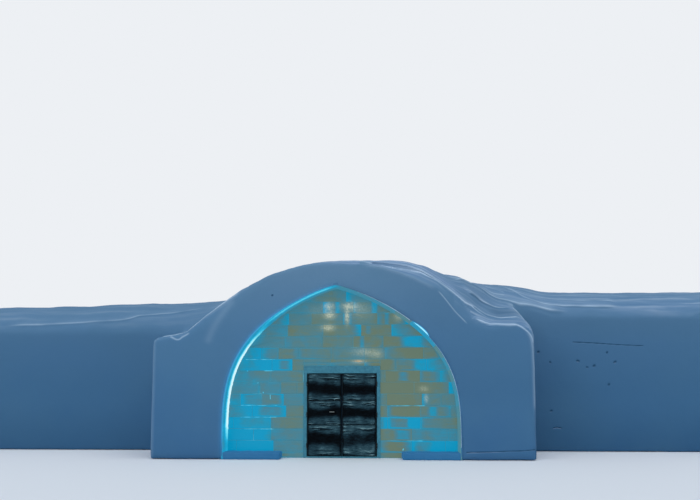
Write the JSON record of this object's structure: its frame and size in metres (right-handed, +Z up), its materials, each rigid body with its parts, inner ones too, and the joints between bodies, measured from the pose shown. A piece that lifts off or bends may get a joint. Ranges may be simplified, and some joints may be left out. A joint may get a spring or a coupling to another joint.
{
  "type": "packed-snow hall with an ice-block portal",
  "caption": "Packed-snow hall with a pointed arch portal, an ice-block front wall, hide-covered double doors and two low vaulted wings.",
  "frame": {"origin": "on the ground, below the middle of the whole footprint", "axes": "+X along the front to the right as one faces it, +Y from the front to the back, +Z up"},
  "size_m": [24.6, 8.5, 5.3642],
  "materials": {
    "snow": "packed snow, matt with a fine grain and soft wind-drifted edges",
    "ice": "sawn river ice, cloudy, cyan and amber blocks in frozen snow joints",
    "timber": "rough boards with a rime of frost",
    "hide": "dark long-haired hide with frosted folds",
    "iron": "black forged iron",
    "horn": "polished antler"
  },
  "bodies": {
    "building": {"portal_left_pier": "snow", "portal_right_pier": "snow", "portal_left_haunch": "snow", "portal_right_haunch": "snow", "portal_crown": "snow", "hall_left_roof_front": "snow", "hall_left_roof_back": "snow", "hall_right_roof_front": "snow", "hall_right_roof_back": "snow", "hall_crown": "snow", "hall_back_wall": "snow", "left_wing_front_wall": "snow", "left_wing_back_wall": "snow", "left_party_wall": "snow", "left_wing_roof_front": "snow", "left_wing_roof_back": "snow", "right_wing_front_wall": "snow", "right_wing_back_wall": "snow", "right_party_wall": "snow", "right_wing_roof_front": "snow", "right_wing_roof_back": "snow", "left_ice_wall": "ice", "right_ice_wall": "ice", "upper_ice_wall": "ice", "left_kerb": "snow", "right_kerb": "snow", "left_jamb": "timber", "right_jamb": "timber", "door_head": "timber", "threshold": "timber", "left_jamb_hinges": "iron", "right_jamb_hinges": "iron"},
    "left_leaf": {"left_door_leaf": "timber", "left_leaf_hinges": "iron", "left_top_hide": "hide", "left_middle_hide": "hide", "left_bottom_hide": "hide", "outer_pull": "horn", "inner_pull": "horn"},
    "right_leaf": {"right_door_leaf": "timber", "right_leaf_hinges": "iron", "right_top_hide": "hide", "right_middle_hide": "hide", "right_bottom_hide": "hide"}
  },
  "joints": [
    {"name": "left_door_hinge", "type": "hinge", "parent": "building", "child": "left_leaf", "pos_m": [-0.945, -3.746, 1.1595], "axis": [0, 0, -1], "range_deg": [0, 95]},
    {"name": "right_door_hinge", "type": "hinge", "parent": "building", "child": "right_leaf", "pos_m": [0.945, -3.746, 1.1595], "axis": [0, 0, 1], "range_deg": [0, 95]}
  ]
}
